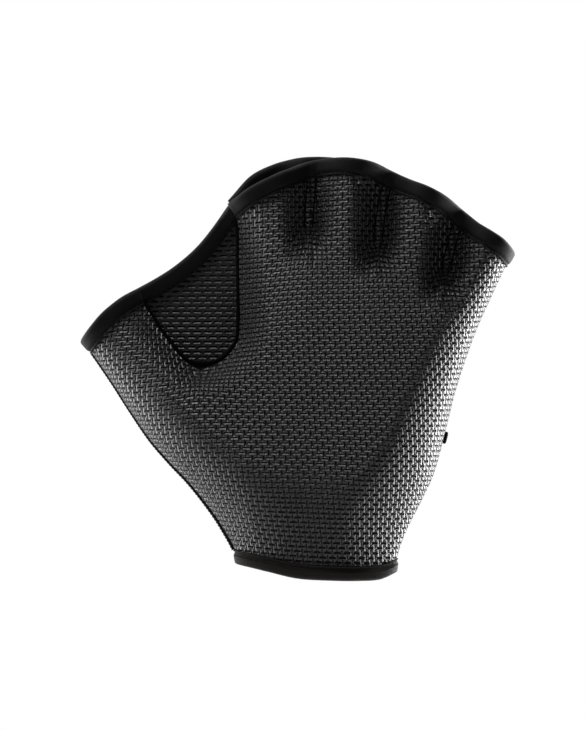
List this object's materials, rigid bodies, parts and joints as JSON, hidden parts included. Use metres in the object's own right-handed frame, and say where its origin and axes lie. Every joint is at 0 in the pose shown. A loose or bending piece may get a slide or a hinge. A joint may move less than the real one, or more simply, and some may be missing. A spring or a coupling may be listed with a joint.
{
  "type": "webbed swim resistance glove",
  "caption": "Open-fingered webbed glove of embossed neoprene for water exercise, with a flat thumb web and taped edges, shaped as worn.",
  "frame": {"origin": "middle of the wrist opening, at the mean level of its slanting hem, where a wrist enters", "axes": "+Z from the wrist towards the fingers, +Y from the palm towards the back of the hand, -X towards the thumb and +X towards the little finger"},
  "size_m": [0.1951, 0.0455, 0.1902],
  "materials": {
    "embossed_neoprene": "black foam neoprene with a pressed-in plain-weave pattern, satin sheen between the grooves",
    "binding_tape": "matt black stretch knit tape",
    "seam_thread": "matt black overlock thread"
  },
  "bodies": {
    "root": {"palm_panel": "embossed_neoprene", "back_panel": "embossed_neoprene", "thumb_web": "embossed_neoprene", "finger_binding": "binding_tape", "thumb_binding": "binding_tape", "web_binding": "binding_tape", "wrist_binding": "binding_tape", "thumb_seam_bead": "seam_thread", "side_tab": "binding_tape"}
  },
  "joints": []
}
